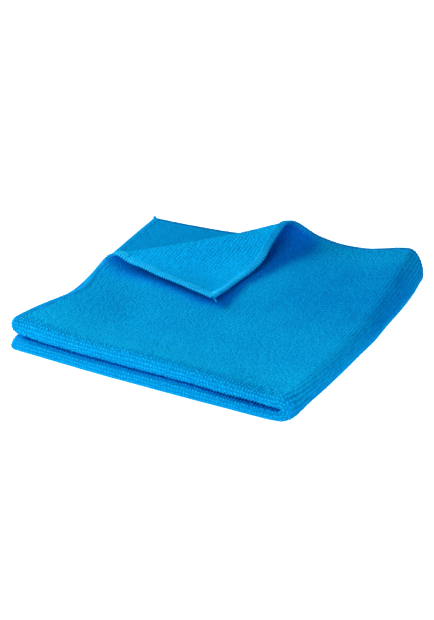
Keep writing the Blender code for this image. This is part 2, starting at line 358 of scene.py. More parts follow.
def main_light_shadow(cloth, place, facing, wanted):
    """The share of the main light that the cloth hides from each place, which becomes painted shadow."""
    ways = [towards(turn, rise) for turn in PAINTED_SHADOW_TURNS for rise in PAINTED_SHADOW_RISES]
    return hidden_share(cloth, place, facing, wanted, lambda index: ways, 0.0)


def flat_grid(across, back):
    """Every pairing of flat places across and from front to rear."""
    s, t = np.meshgrid(across, back, indexing="ij")
    return s.ravel(), t.ravel()


def map_painted_shade(points, faces):
    """How shut in both faces of the sheet are, over the flat cloth, as the map of their painted shade."""
    cloth = BVHTree.FromPolygons(points.tolist(), faces.tolist())
    lines = sheet_lines()[::SHUT_EVERY]
    s, t = flat_grid(lines, lines)
    place, normal, along_s, along_t = surface_at(s, t)
    outer = shut_in(cloth, place, normal, along_s, outer_pile(s, t, place, normal) > 0.0)
    # The main light's shadow on the top layer is painted into the colour as well.
    on_top = top_layer(s, t) * grow(t, PAINTED_SHADOW_NONE, PAINTED_SHADOW_FULL) * grow(-s, PAINTED_SHADOW_NONE, PAINTED_SHADOW_FULL)
    outer = np.maximum(outer, PAINTED_SHADOW_SHARE * on_top * main_light_shadow(cloth, place, normal, on_top > 0.0))
    inner = shut_in(cloth, place, -normal, along_s, inner_pile(s, t) > 0.0)
    return PaintedShadeMap(outer=partial(read_map, lines, outer.reshape(len(lines), -1)),
                   inner=partial(read_map, lines, inner.reshape(len(lines), -1)))


def read_map(lines, grid, s, t):
    """A map's value at flat places, between its lines."""
    values = []
    for at in (s, t):
        index = np.clip(np.searchsorted(lines, at) - 1, 0, len(lines) - 2)
        share = np.clip((at - lines[index]) / (lines[index + 1] - lines[index]), 0.0, 1.0)
        values.append((index, share))
    (i, u), (j, v) = values
    return ((grid[i, j] * (1.0 - u) + grid[i + 1, j] * u) * (1.0 - v)
            + (grid[i, j + 1] * (1.0 - u) + grid[i + 1, j + 1] * u) * v)


# ---- the sheet's mesh
Spacing = namedtuple("Spacing", "reach step")
SHEET_SPACING = (Spacing(9.0, 0.9), Spacing(24.0, 1.5), Spacing(196.0, 2.15), Spacing(200.0, 1.33))
WAVES = (
    # length across, length back, height, start
    (61.0, 173.0, 0.16, 0.4),
    (-97.0, 58.0, 0.16, 2.1),
    (34.0, 71.0, 0.09, 4.0),
    (43.0, -37.0, 0.08, 1.2),
)
RIM_OUT = 0.45  # how far the rim stands out between the two faces' edges


def sheet_lines():
    """Where the flat sheet is cut into faces, closest where it turns over."""
    half = [0.0]
    for spacing in SHEET_SPACING:
        count = round((spacing.reach - half[-1]) / spacing.step)
        half.extend(np.linspace(half[-1], spacing.reach, count + 1)[1:])
    half = np.array(half)
    return np.concatenate((-half[:0:-1], half))


def soft_waves(s, t):
    """Slight unevenness of the outer skin."""
    total = 0.0
    for across, back, height, start in WAVES:
        total = total + height * np.sin(2.0 * pi * (s / across + t / back) + start)
    return total


def ring_of(count):
    """Indices round the edge of a square grid, in order."""
    corner = np.arange(count * count).reshape(count, count)
    return np.concatenate((corner[:-1, 0], corner[-1, :-1], corner[:0:-1, -1], corner[0, :0:-1]))


def sheet_faces(count, ring):
    """Faces of both sides of a square grid and of its rim, and the material of each."""
    corner = np.arange(count * count).reshape(count, count)
    quads = np.stack((corner[:-1, :-1], corner[1:, :-1], corner[1:, 1:], corner[:-1, 1:]), axis=-1)
    upper = quads.reshape(-1, 4)
    lower = upper[:, ::-1] + count * count
    middle = np.arange(len(ring)) + 2 * count * count
    after, middle_after = np.roll(ring, -1), np.roll(middle, -1)
    rim_upper = np.stack((ring, middle, middle_after, after), axis=-1)
    rim_lower = np.stack((middle, ring + count * count, after + count * count, middle_after), axis=-1)
    faces = np.concatenate((upper, lower, rim_upper, rim_lower))
    return faces, np.repeat((0, 1, 0), (len(upper), len(lower), 2 * len(ring)))


def make_sheet(name):
    """The sheet as a closed mesh of two faces and a rounded rim, with its map of painted shade."""
    lines = sheet_lines()
    s, t = flat_grid(lines, lines)
    place, normal, along_s, along_t = surface_at(s, t)
    tufts, ribs, hem = outer_pile(s, t, place, normal), inner_pile(s, t), hem_share(s, t)
    full = THICKNESS / 2
    over = full - (full - PILE_ROOT) * tufts
    over = over + soft_waves(s, t) * tufts * (1.0 - hem)
    under = full - (full - PILE_ROOT) * ribs
    over = over + (HEM_HALF - over) * hem * tufts
    under = under + (HEM_HALF - under) * hem * ribs
    outer = place + normal * over[:, None]
    inner = place - normal * under[:, None]
    ring = ring_of(len(lines))
    outward = sum(np.where(np.abs(at[ring]) >= HALF, np.sign(at[ring]), 0.0)[:, None] * along[ring]
                  for at, along in ((s, along_s), (t, along_t)))
    rim = (outer[ring] + inner[ring]) / 2 + unit(outward) * RIM_OUT
    points = np.concatenate((outer, inner, rim))
    faces, kinds = sheet_faces(len(lines), ring)
    mesh = bpy.data.meshes.new(name)
    mesh.from_pydata(points * MM, [], faces.tolist())
    mesh.polygons.foreach_set("material_index", kinds.astype(np.int32))
    smooth(mesh)
    flat = np.stack((s, t), axis=-1) / SIDE + 0.5
    flat = np.concatenate((flat, flat, flat[ring]))
    knit_map = mesh.uv_layers.new(name="flat_cloth")
    knit_map.uv.foreach_set("vector", flat[faces.ravel()].astype(np.float32).ravel())
    give(mesh, "relief", np.concatenate((1.0 - tufts, 1.0 - ribs, np.zeros(len(ring)))))
    # Painted shade on the sheet between the knots.
    give(mesh, "covered", np.concatenate((tufts * knots(s, t), np.zeros(len(s) + len(ring)))))
    # Painted shade: how shut in each place is goes to the colour, deepest in hollows and shadows.
    shut = map_painted_shade(points, faces)
    outer_painted_shade, inner_painted_shade = shut.outer(s, t), shut.inner(s, t)
    rim_painted_shade = np.minimum(outer_painted_shade, inner_painted_shade)[ring]
    give(mesh, "shut", np.concatenate((outer_painted_shade, inner_painted_shade, rim_painted_shade)))
    return in_scene(name, mesh), shut


# ---- meshes and nodes, for all pieces
def give(mesh, name, values):
    """A named value or vector at each point of a mesh."""
    kind, field = ("FLOAT_VECTOR", "vector") if np.ndim(values) > 1 else ("FLOAT", "value")
    attribute = mesh.attributes.new(name, kind, "POINT")
    attribute.data.foreach_set(field, np.asarray(values, np.float32).ravel())


def smooth(mesh):
    """Rounds the shading over a mesh's faces."""
    mesh.polygons.foreach_set("use_smooth", np.ones(len(mesh.polygons), bool))


def in_scene(name, data):
    """A new object in the scene."""
    thing = bpy.data.objects.new(name, data)
    bpy.context.scene.collection.objects.link(thing)
    return thing


def places_of(thing):
    """The places of an object's points, in metres."""
    places = np.zeros(len(thing.data.vertices) * 3, np.float32)
    thing.data.vertices.foreach_get("co", places)
    return places.reshape(-1, 3)


def set_places(thing, places):
    """Moves an object's points to new places."""
    thing.data.vertices.foreach_set("co", places.ravel())
    thing.data.update()


def node(tree, kind, settings=None, **inputs):
    """A node with its settings, its inputs linked or set by name or by number."""
    made = tree.nodes.new(kind)
    for key, value in (settings or {}).items():
        setattr(made, key, value)
    for key, value in inputs.items():
        place = int(key[1:]) if key[0] == "_" else key.replace("_", " ")
        if isinstance(value, bpy.types.NodeSocket):
            tree.links.new(value, made.inputs[place])
        else:
            made.inputs[place].default_value = value
    return made


def new_group(name, kind, inputs, outputs):
    """A node group with sockets of a name, a kind and perhaps a value, and what goes into it."""
    group = bpy.data.node_groups.new(name, kind + "NodeTree")
    for way, sockets in (("INPUT", inputs), ("OUTPUT", outputs)):
        for socket, holds, *value in sockets:
            made = group.interface.new_socket(socket, in_out=way, socket_type="NodeSocket" + holds)
            if value:
                made.default_value = value[0]
    return group, group.nodes.new("NodeGroupInput").outputs


def maths(tree, operation, first, second=0.0, third=0.0):
    """One step of arithmetic on sockets or plain values."""
    made = node(tree, "ShaderNodeMath", {"operation": operation}, _0=first, _1=second, _2=third)
    return made.outputs[0]


# ---- pieces made of many small ones
def read_vector(tree, name):
    """A direction or a size that each point carries."""
    read = node(tree, "GeometryNodeInputNamedAttribute", {"data_type": "FLOAT_VECTOR"}, Name=name)
    return read.outputs["Attribute"]


def uneven(tree, middle, swing, seed):
    """A chance value for each axis, within a swing of the middle."""
    low = maths(tree, "MULTIPLY_ADD", swing, -1.0, middle)
    high = maths(tree, "MULTIPLY_ADD", swing, 1.0, middle)
    settings = {"data_type": "FLOAT_VECTOR"}
    return node(tree, "FunctionNodeRandomValue", settings, Min=low, Max=high, Seed=seed).outputs["Value"]


def repeat_tree(name):
    """Sets one small shape on every point, turned to the surface, with a little unevenness."""
    tree, given = new_group(name, "Geometry", (
        ("Geometry", "Geometry"), ("Shape", "Object"), ("Material", "Material"),
        ("Unevenness", "Float"), ("Lean", "Float"), ("Seed", "Int"),
    ), (("Geometry", "Geometry"),))
    tree.is_modifier = True
    seed = given["Seed"]
    shape = node(tree, "GeometryNodeObjectInfo", Object=given["Shape"])
    turn = (0.0, 0.0, 0.0)
    for attribute, axis, pivot in (("up", "Z", "AUTO"), ("along", "X", "Z")):
        turn = node(tree, "FunctionNodeAlignRotationToVector", {"axis": axis, "pivot_axis": pivot},
                    Vector=read_vector(tree, attribute), Rotation=turn).outputs["Rotation"]
    lean = node(tree, "FunctionNodeEulerToRotation", Euler=uneven(tree, 0.0, given["Lean"], seed))
    leaning = node(tree, "FunctionNodeRotateRotation", {"rotation_space": "LOCAL"},
                   Rotation=turn, Rotate_By=lean.outputs["Rotation"])
    scale = node(tree, "ShaderNodeVectorMath", {"operation": "MULTIPLY"},
                 _0=read_vector(tree, "size"), _1=uneven(tree, 1.0, given["Unevenness"], seed))
    copies = node(tree, "GeometryNodeInstanceOnPoints", Points=given["Geometry"],
                  Instance=shape.outputs["Geometry"], Rotation=leaning.outputs["Rotation"],
                  Scale=scale.outputs["Vector"])
    tone = node(tree, "FunctionNodeRandomValue", {"data_type": "FLOAT"}, Seed=seed)
    toned = node(tree, "GeometryNodeStoreNamedAttribute", {"data_type": "FLOAT", "domain": "INSTANCE"},
                 Geometry=copies.outputs["Instances"], Name="tone", Value=tone.outputs[1])
    real = node(tree, "GeometryNodeRealizeInstances", Geometry=toned.outputs["Geometry"])
    dressed = node(tree, "GeometryNodeSetMaterial", Geometry=real.outputs["Geometry"],
                   Material=given["Material"])
    node(tree, "NodeGroupOutput", Geometry=dressed.outputs["Geometry"])
    return tree


def repeated(name, tree, chosen, place, carried, **values):
    """A small shape on each chosen place, realized as a plain mesh, with the modifier gone."""
    mesh = bpy.data.meshes.new(name + "_points")
    mesh.from_pydata(place[chosen] * MM, [], [])
    for key, value in carried.items():
        give(mesh, key, value[chosen])
    points = in_scene(mesh.name, mesh)
    modifier = points.modifiers.new("copies", "NODES")
    modifier.node_group = tree
    for socket in tree.interface.items_tree:
        key = socket.name.lower()
        if socket.in_out == "INPUT" and key in values:
            modifier[socket.identifier] = values[key]
    bpy.context.view_layer.update()
    graph = bpy.context.evaluated_depsgraph_get()
    mesh = bpy.data.meshes.new_from_object(points.evaluated_get(graph))
    mesh.name = name
    smooth(mesh)
    points.modifiers.clear()
    bpy.data.objects.remove(points)
    return in_scene(name, mesh)


def bands(start, rings, sides):
    """Faces between rings of points that follow one another."""
    faces = []
    for low in range(start, start + (rings - 1) * sides, sides):
        for side in range(sides):
            after = (side + 1) % sides
            faces.append((low + side, low + after, low + sides + after, low + sides + side))
    return faces


# ---- tufts
# How far the loops stray from their rows: beside a fold, in the open and on the ribbed face.
FOLD_WANDER, OPEN_WANDER, RIB_WANDER = 0.15, 0.27, 0.14
PILE_OVER_HEM = 0.2
TUFT_SIDES = 6
TUFT_RINGS = ((1.0, -0.25), (0.88, 0.55), (0.52, 1.0))  # width and height of each, bottom first
Tuft = namedtuple("Tuft", "length width height")
OPEN_TUFT = Tuft(length=2.3, width=2.5, height=0.32)
NOSE_TUFT = Tuft(length=1.8, width=1.75, height=0.88)
RIB_TUFT = Tuft(length=3.1, width=2.1, height=0.24)
TOP_FROM = 55.0  # the top layer's own pile begins this far from both folds
Near = namedtuple("Near", "whole fades")
BY_FRONT = Near(whole=6.0, fades=9.0)  # how far from each fold its own texture reaches
BY_RIGHT = Near(whole=14.0, fades=12.0)
NOSE_END = Near(whole=6.0, fades=10.0)
NOSE_END_KNOTS = 0.5  # the share of the knots that the ends of the noses lose
RIGHT_KNOTS = 0.2
# Painted light and painted shade: how much lighter the pile, the ribs and the thread are in places, or
# deeper if it is below none.
PILE_PAINTED_LIGHT, PILE_PAINTED_SHADE = 0.8, -1.2
RIBS_PAINTED_LIGHT, RIBS_PAINTED_SHADE = 1.0, -1.6
THREAD_PAINTED_LIGHT, THREAD_PAINTED_SHADE, THREAD_REAR_PAINTED_SHADE = 1.3, -2.4, -1.44


def tuft_shape(name):
    """One soft lozenge of pile, to be scaled: length X, width Y, height Z."""
    turns = np.arange(TUFT_SIDES) * 2.0 * pi / TUFT_SIDES
    around = np.stack((np.cos(turns), np.sin(turns)), axis=-1) / 2
    points = np.array([(x * width, y * width, height) for width, height in TUFT_RINGS for x, y in around])
    top = len(points) - TUFT_SIDES
    faces = bands(0, len(TUFT_RINGS), TUFT_SIDES) + [tuple(range(top, len(points)))]
    mesh = bpy.data.meshes.new(name)
    mesh.from_pydata(points * MM, [], faces)
    give(mesh, "rise", np.maximum(points[:, 2], 0.0))
    return bpy.data.objects.new(name, mesh)


def near_fold(distance, near):
    """One beside a fold, none in the open."""
    return 1.0 - ease((np.abs(distance) - near.whole) / near.fades)


def knots(s, t):
    """How much the loops stand apart as knots in their colour, with painted light on them and painted
    shade between: fully on the noses, a little on the right-hand fold.
    """
    front = near_fold(t, BY_FRONT) * (1.0 - NOSE_END_KNOTS * near_fold(s, NOSE_END))
    return np.maximum(front, RIGHT_KNOTS * near_fold(s, BY_RIGHT))


def knit_places(seed, wander):
    """The middle of every loop of the knit, on the flat cloth, as s and t."""
    columns = np.arange(-HALF + COLUMN_PITCH / 2, HALF, COLUMN_PITCH)
    courses = np.arange(-HALF + COURSE_PITCH / 2, HALF, COURSE_PITCH)
    s, t = flat_grid(columns, courses)
    inside = HALF - np.maximum(np.abs(s), np.abs(t)) > HEM_WIDTH - PILE_OVER_HEM
    stray = np.random.default_rng(seed).normal(0.0, 1.0, (2, len(s)))
    beside = np.maximum(near_fold(s, BY_RIGHT), near_fold(t, BY_FRONT))
    stray = stray * (wander + (FOLD_WANDER - wander) * beside)
    return s[inside] + stray[0][inside], t[inside] + stray[1][inside]


def pile_painted_light_and_shade(s, t):
    """Painted light on the top layer's pile near its front, and painted shade at its rear right."""
    near_front = grow(t, none=60.0, full=15.0) * grow(t, none=4.0, full=12.0)
    rear_right = grow(np.abs(s), none=120.0, full=40.0) * grow(t, none=75.0, full=125.0)
    rear_right = rear_right * grow(t, none=190.0, full=160.0)
    return (PILE_PAINTED_LIGHT * near_front + PILE_PAINTED_SHADE * rear_right) * top_layer(s, t)


def make_outer_tufts(tree, shape, material, shut):
    """The pile of the tufted face, in two pieces: round the folds, and over the top layer."""
    s, t = knit_places(seed=1, wander=OPEN_WANDER)
    place, normal, along_s, along_t = surface_at(s, t)
    share = outer_pile(s, t, place, normal)
    off_table = (s < 0.0) | (place[:, 2] > THICKNESS / 2 + TABLE_CLEAR)
    seen = (share > PILE_LEAST) & (t > GROOVE_END) & off_table
    on_top = (s < -TOP_FROM) & (t > TOP_FROM)
    place = place + normal * (PILE_ROOT + soft_waves(s, t))[:, None]
    by_front, by_right = near_fold(t, BY_FRONT), near_fold(s, BY_RIGHT)
    change = np.array(NOSE_TUFT) - np.array(OPEN_TUFT)
    size = np.array(OPEN_TUFT) + by_front[:, None] * change
    size[:, 1] -= by_front * by_right * change[1]
    size[:, 2] *= share
    # Painted shade where the pile is shut in, and painted light and shade over the top layer, go with each
    # tuft.
    carried = {"up": normal, "along": along_t, "size": size, "fold": knots(s, t),
               "shut": shut.outer(s, t), "fade": pile_painted_light_and_shade(s, t)}
    return [repeated(name, tree, chosen, place, carried, shape=shape, material=material,
                     unevenness=0.18, lean=0.15, seed=seed)
            for name, chosen, seed in (("fold_tufts", seen & ~on_top, 3), ("top_tufts", seen & on_top, 4))]


def make_inner_ribs(name, tree, shape, material, shut):
    """The ribs of the inner face, with painted light on the peeled corner and painted shade on the layer
    behind it.
    """
    s, t = knit_places(seed=2, wander=RIB_WANDER)
    place, normal, along_s, along_t = surface_at(s, t)
    share = inner_pile(s, t)
    size = np.repeat((RIB_TUFT,), len(s), axis=0)
    size[:, 2] *= share
    # Painted light on the peeled corner's ribs, painted shade on those of the layer behind it.
    fade = np.where(top_layer(s, t), RIBS_PAINTED_LIGHT, RIBS_PAINTED_SHADE)
    carried = {"up": -normal, "along": along_s, "size": size, "shut": shut.inner(s, t), "fade": fade}
    return repeated(name, tree, share > PILE_LEAST, place - normal * PILE_ROOT, carried, shape=shape,
                    material=material, unevenness=0.2, lean=0.15, seed=5)


# ---- overlocked edge
STITCH_PITCH = 1.9
STITCH_LEG = (
    # along the edge in half pitches, then into the cloth and over its middle
    (-1.0, 4.0, 0.62),
    (-0.72, 2.88, 0.92),
    (-0.36, 1.28, 0.97),
    (-0.1, -0.1, 0.5704),
)
STITCH_OUT = 0.62  # how far a leg turns round the cut edge
STITCH_CHAIN = ((-1.0, 4.0, 0.57), (0.0, 4.1, 0.77), (1.0, 4.0, 0.57))
STITCH_TO_CORNER = 1.0  # the stitches stop this far short of the corners
STITCH_OVER_TABLE = 0.02
THREAD = 0.70
THREAD_SIDES = 4
THREAD_ASIDE = (0.31, 0.17, 0.94)  # a direction that no thread runs in
Tube = namedtuple("Tube", "points faces")


def add_thread(tubes, path, thickness, closed_ends=False):
    """Adds a thread along a path to a list of tubes."""
    path = np.asarray(path, float)
    heading = unit(np.gradient(path, axis=0))
    first = unit(np.cross(heading, THREAD_ASIDE))[:, None]
    second = np.cross(heading, first[:, 0])[:, None]
    turns = (np.arange(THREAD_SIDES) * 2.0 * pi / THREAD_SIDES)[None, :, None]
    rings = path[:, None] + 0.5 * thickness * (np.cos(turns) * first + np.sin(turns) * second)
    start = sum(len(tube.points) for tube in tubes)
    faces = bands(start, len(path), THREAD_SIDES)
    if closed_ends:
        last = start + (len(path) - 1) * THREAD_SIDES
        faces.append(tuple(reversed(range(start, start + THREAD_SIDES))))
        faces.append(tuple(range(last, last + THREAD_SIDES)))
    tubes.append(Tube(points=rings.reshape(-1, 3), faces=faces))


def thread_mesh(name, tubes):
    """One mesh of all the tubes in a list."""
    mesh = bpy.data.meshes.new(name)
    points = np.concatenate([tube.points for tube in tubes])
    mesh.from_pydata(points * MM, [], [face for tube in tubes for face in tube.faces])
    return mesh


def stitch_shape(name):
    """One overlock stitch: X along the edge, Y into the cloth, Z off its face, the edge at Y 0."""
    half = STITCH_PITCH / 2
    tubes = []
    for side in (1.0, -1.0):
        leg = [(half * side * along, into, over) for along, into, over in STITCH_LEG]
        under = [(-x, y, -z) for x, y, z in reversed(leg)]
        add_thread(tubes, (*leg, (0.0, -STITCH_OUT, 0.0), *under), THREAD)
    for face in (1.0, -1.0):
        chain = [(half * along, into, over * face) for along, into, over in STITCH_CHAIN]
        add_thread(tubes, chain, THREAD)
    return bpy.data.objects.new(name, thread_mesh(name, tubes))


def edge_places():
    """The stitches' flat places round the cut edge, with the way into the cloth for each."""
    reach = SIDE - 2.0 * STITCH_TO_CORNER
    count = round(reach / STITCH_PITCH)
    along = (np.arange(count) + 0.5) / count * reach - reach / 2
    rim, none, one = np.full(count, HALF), np.zeros(count), np.ones(count)
    front = (along, -rim, none, one)
    right = (rim, along, -one, none)
    rear = (-along, rim, none, -one)
    left = (-rim, -along, one, none)
    return [np.concatenate(column) for column in zip(front, right, rear, left)]


def thread_painted_light_and_shade(s, t):
    """Painted light on the thread of the peeled corner's left hem, and painted shade on the thread away
    from that corner.
    """
    light = grow(s, none=-190.0, full=-195.0) * grow(t, none=106.0, full=118.0)
    sides = grow(np.abs(s), none=150.0, full=180.0) * grow(t, none=106.0, full=94.0)
    behind = grow(s, none=0.0, full=-60.0) * grow(t, none=-60.0, full=-120.0)
    rear = grow(s, none=-150.0, full=-130.0) * grow(t, none=150.0, full=180.0)
    thread_shade = np.minimum(THREAD_PAINTED_SHADE * np.maximum(sides, behind), THREAD_REAR_PAINTED_SHADE * rear)
    return THREAD_PAINTED_LIGHT * light + thread_shade


def make_stitches(name, tree, shape, material, shut):
    """The overlock stitches all round the cut edge, those under the cloth flat on the table."""
    s, t, into_s, into_t = edge_places()
    place, normal, along_s, along_t = surface_at(s, t)
    inward = unit(along_s * into_s[:, None] + along_t * into_t[:, None])
    # Painted shade where the edge is shut in, and painted light and shade along the thread, go with each
    # stitch.
    carried = {"up": normal, "along": np.cross(inward, normal), "size": np.ones((len(s), 3)),
               "shut": np.minimum(shut.outer(s, t), shut.inner(s, t)), "fade": thread_painted_light_and_shade(s, t)}
    thing = repeated(name, tree, slice(None), place, carried, shape=shape, material=material,
                     unevenness=0.06, lean=0.06, seed=7)
    places = places_of(thing)
    places[:, 2] = np.maximum(places[:, 2], STITCH_OVER_TABLE * MM)
    set_places(thing, places)
    return thing


# ---- thread tails
Tail = namedtuple("Tail", "s t out_s out_t strands length rise thick")
TAILS = (
    Tail(-198.5, -198.5, -1.0, -0.8, 5, 2.6, 1.8, 2.2),
    Tail(-198.5, 198.5, -0.1, 1.0, 4, 4.2, -2.2, 1.1),
)
TAIL_LENGTHS = (0.75, 1.1)  # the shares of a tail's length that a strand can have
TAIL_POINTS = 9
TAIL_PITCH, TAIL_CLOSING = 0.4, 0.1  # the strands lie this far apart and run together
TAIL_STRAY, TAIL_BEND = 0.12, 0.03
TAIL_OFF_SHEET = 0.2
TAIL_CURVE = 1.5
TAIL_LIGHTNESS_SHIFT = -1.0
TAIL_SEED = 11


def make_tails(name, material):
    """The cut ends of the overlock thread at the two corners that show."""
    tubes = []
    chance = np.random.default_rng(TAIL_SEED)
    for tail in TAILS:
        corner = surface_at(np.array([tail.s]), np.array([tail.t]))
        place, normal, along_s, along_t = (rows[0] for rows in corner)
        out = unit(tail.out_s * along_s + tail.out_t * along_t)
        side = np.cross(normal, out)
        for strand in range(tail.strands):
            aside = strand - tail.strands // 2
            reach = np.linspace(0.0, tail.length * chance.uniform(*TAIL_LENGTHS), TAIL_POINTS)
            stray = chance.uniform(-TAIL_STRAY, TAIL_STRAY) - TAIL_CLOSING * aside
            bend = chance.uniform(-TAIL_BEND, TAIL_BEND)
            across = TAIL_PITCH * aside + stray * reach + bend * reach ** 2
            path = place + normal * TAIL_OFF_SHEET + reach[:, None] * out + across[:, None] * side
            path[:, 2] += tail.rise * (reach / tail.length) ** TAIL_CURVE
            add_thread(tubes, path, tail.thick, closed_ends=True)
    mesh = thread_mesh(name, tubes)
    smooth(mesh)
    give(mesh, "tone", np.full(len(mesh.vertices), 0.5))
    give(mesh, "fade", np.full(len(mesh.vertices), TAIL_LIGHTNESS_SHIFT))
    mesh.materials.append(material)
    return in_scene(name, mesh)


# ---- materials
Blues = namedtuple("Blues", "deep light")
SHEET_BLUES = Blues(deep=(0.0004, 0.225, 0.525, 1.0), light=(0.0012, 0.300, 0.590, 1.0))
PILE_BLUES = Blues(deep=(0.0003, 0.185, 0.485, 1.0), light=(0.0030, 0.390, 0.660, 1.0))
RIB_BLUES = Blues(deep=(0.0005, 0.225, 0.515, 1.0), light=(0.0020, 0.400, 0.775, 1.0))
THREAD_BLUES = Blues(deep=(0.0030, 0.300, 0.640, 1.0), light=(0.0180, 0.610, 0.980, 1.0))
CLOTH_SURFACE = {
    "Roughness": 0.95,
    "Specular IOR Level": 0.008,
    "Sheen Weight": 0.06,
    "Sheen Roughness": 0.55,
    "Sheen Tint": (0.004, 0.420, 0.800, 1.0),
}
# Painted shade: where the cloth is shut in, or in the main light's shadow, its colour is multiplied
# towards this deep blue.
PAINTED_SHADE_TINT = (0.30, 0.54, 1.0, 1.0)
PAINTED_SHADE_FROM, PAINTED_SHADE_WHOLE = 0.02, 0.85
LIGHTNESS_STEP = 0.28  # how much lighter a shift of one makes the colour; the shifts are painted light and shade on the pile, ribs and thread
TONE_SWING = 0.22  # how much lighter one tuft or stitch can be than another
KNOT_PAINTED_LIGHT = 0.16  # painted light: how much lighter the knots on the noses are
CROWN_SHARE = 0.72  # the height on a tuft where its colour is plain, with painted shade below it and painted light above
BURIED_RELIEF = 0.2  # the share of the knit's relief left where tufts stand on the sheet
RELIEF_PAINTED_LIGHT, FIBRE_LIGHT = 0.5, 0.8  # painted light on the knit's ridges and painted shade in its troughs, and how much the fibres' mottling lightens the sheet
KNOT_GAP_PAINTED_SHADE = 0.6  # painted shade: how much deeper the sheet is between the knots
KNIT_BUMP, KNIT_FUZZ = 0.7, 0.35
FIBRE_BUMP = 0.18
FIBRE_NOISE = (("Clouds", 45.0, 2.0), ("Grains", 620.0, 1.0), ("Fibres", 2600.0, 2.0))
STRAY_NOISE, KNIT_STRAY = 90.0, 0.9


def mixed(tree, share, first, second, blend="MIX"):
    """A share of the way from one colour to another, or to the two multiplied."""
    settings = {"data_type": "RGBA", "blend_type": blend}
    return node(tree, "ShaderNodeMix", settings, Factor=share, _6=first, _7=second).outputs[2]


def carried_value(tree, name):
    """A value that the mesh carries."""
    return node(tree, "ShaderNodeAttribute", {"attribute_name": name}).outputs["Fac"]


def fibre_group():
    """Mottling of dyed fibre: soft clouds, grains of pile and single fibres, as a shade from 0 to 1."""
    group, given = new_group("fibre_shade", "Shader", (
        ("Place", "Vector"), ("Clouds", "Float"), ("Grains", "Float"), ("Fibres", "Float"),
    ), (("Shade", "Float"), ("Fuzz", "Float")))
    shade = 0.5
    for strength, scale, detail in FIBRE_NOISE:
        noise = node(group, "ShaderNodeTexNoise", Vector=given["Place"], Scale=scale, Detail=detail)
        swing = maths(group, "SUBTRACT", noise.outputs["Fac"], 0.5)
        shade = maths(group, "MULTIPLY_ADD", swing, given[strength], shade)
    node(group, "NodeGroupOutput", Shade=shade, Fuzz=noise.outputs["Fac"])
    return group


def knit_group():
    """Relief of the knit from flat places: loops set in columns, or in ribs across them."""
    group, given = new_group("knit_relief", "Shader", (
        ("Flat", "Vector"),
        ("Columns", "Float", SIDE / COLUMN_PITCH),
        ("Courses", "Float", SIDE / COURSE_PITCH),
        ("Column depth", "Float"),
        ("Course depth", "Float"),
    ), (("Height", "Float"),))
    stray = node(group, "ShaderNodeTexNoise", Vector=given["Flat"], Scale=STRAY_NOISE, Detail=1.0)
    split = node(group, "ShaderNodeSeparateXYZ", Vector=given["Flat"])
    wander = maths(group, "MULTIPLY", maths(group, "SUBTRACT", stray.outputs["Fac"], 0.5), KNIT_STRAY)
    rises = []
    for axis, count, depth in (("X", "Columns", "Column depth"), ("Y", "Courses", "Course depth")):
        turns = maths(group, "MULTIPLY_ADD", split.outputs[axis], given[count], wander)
        wave = maths(group, "SINE", maths(group, "MULTIPLY", turns, 2.0 * pi))
        rises.append(maths(group, "MULTIPLY", maths(group, "MULTIPLY_ADD", wave, 0.5, 0.5), given[depth]))
    height = maths(group, "MULTIPLY", maths(group, "ADD", *rises), 0.5)
    node(group, "NodeGroupOutput", Height=height)
    return group


def painted_shade_group():
    """Painted shade: deepens a colour towards a deep blue where the cloth shuts itself in."""
    group, given = new_group("shut_in_shade", "Shader", (
        ("Colour", "Color"),
        ("Shut", "Float"),
        ("From", "Float", PAINTED_SHADE_FROM),
        ("Whole", "Float", PAINTED_SHADE_WHOLE),
    ), (("Colour", "Color"),))
    share = node(group, "ShaderNodeMapRange", {"interpolation_type": "SMOOTHSTEP"},
                 Value=given["Shut"], From_Min=given["From"], From_Max=given["Whole"])
    node(group, "NodeGroupOutput",
         Colour=mixed(group, share.outputs[0], given["Colour"], PAINTED_SHADE_TINT, blend="MULTIPLY"))
    return group


def grouped(tree, group, **inputs):
    """One use of a group of shader nodes."""
    return node(tree, "ShaderNodeGroup", {"node_tree": group}, **inputs)


def surface(name, values):
    """A material with values on its shader's own sockets, with its node tree and the shader."""
    material = bpy.data.materials.new(name)
    material.use_nodes = True
    tree = material.node_tree
    shader = tree.nodes["Principled BSDF"]
    for socket, value in values.items():
        shader.inputs[socket].default_value = value
    return material, tree, shader


def finish_cloth(tree, shader, groups, lit, blues, height, depth):
    """Colour between two blues, with painted shade where the cloth is shut in, and the bump."""
    blue = mixed(tree, lit, blues.deep, blues.light)
    shaded = grouped(tree, groups["shade"], Colour=blue, Shut=carried_value(tree, "shut"))
    tree.links.new(shaded.outputs["Colour"], shader.inputs["Base Color"])
    bump = node(tree, "ShaderNodeBump", Height=height, Strength=1.0, Distance=depth * MM)
    tree.links.new(bump.outputs["Normal"], shader.inputs["Normal"])


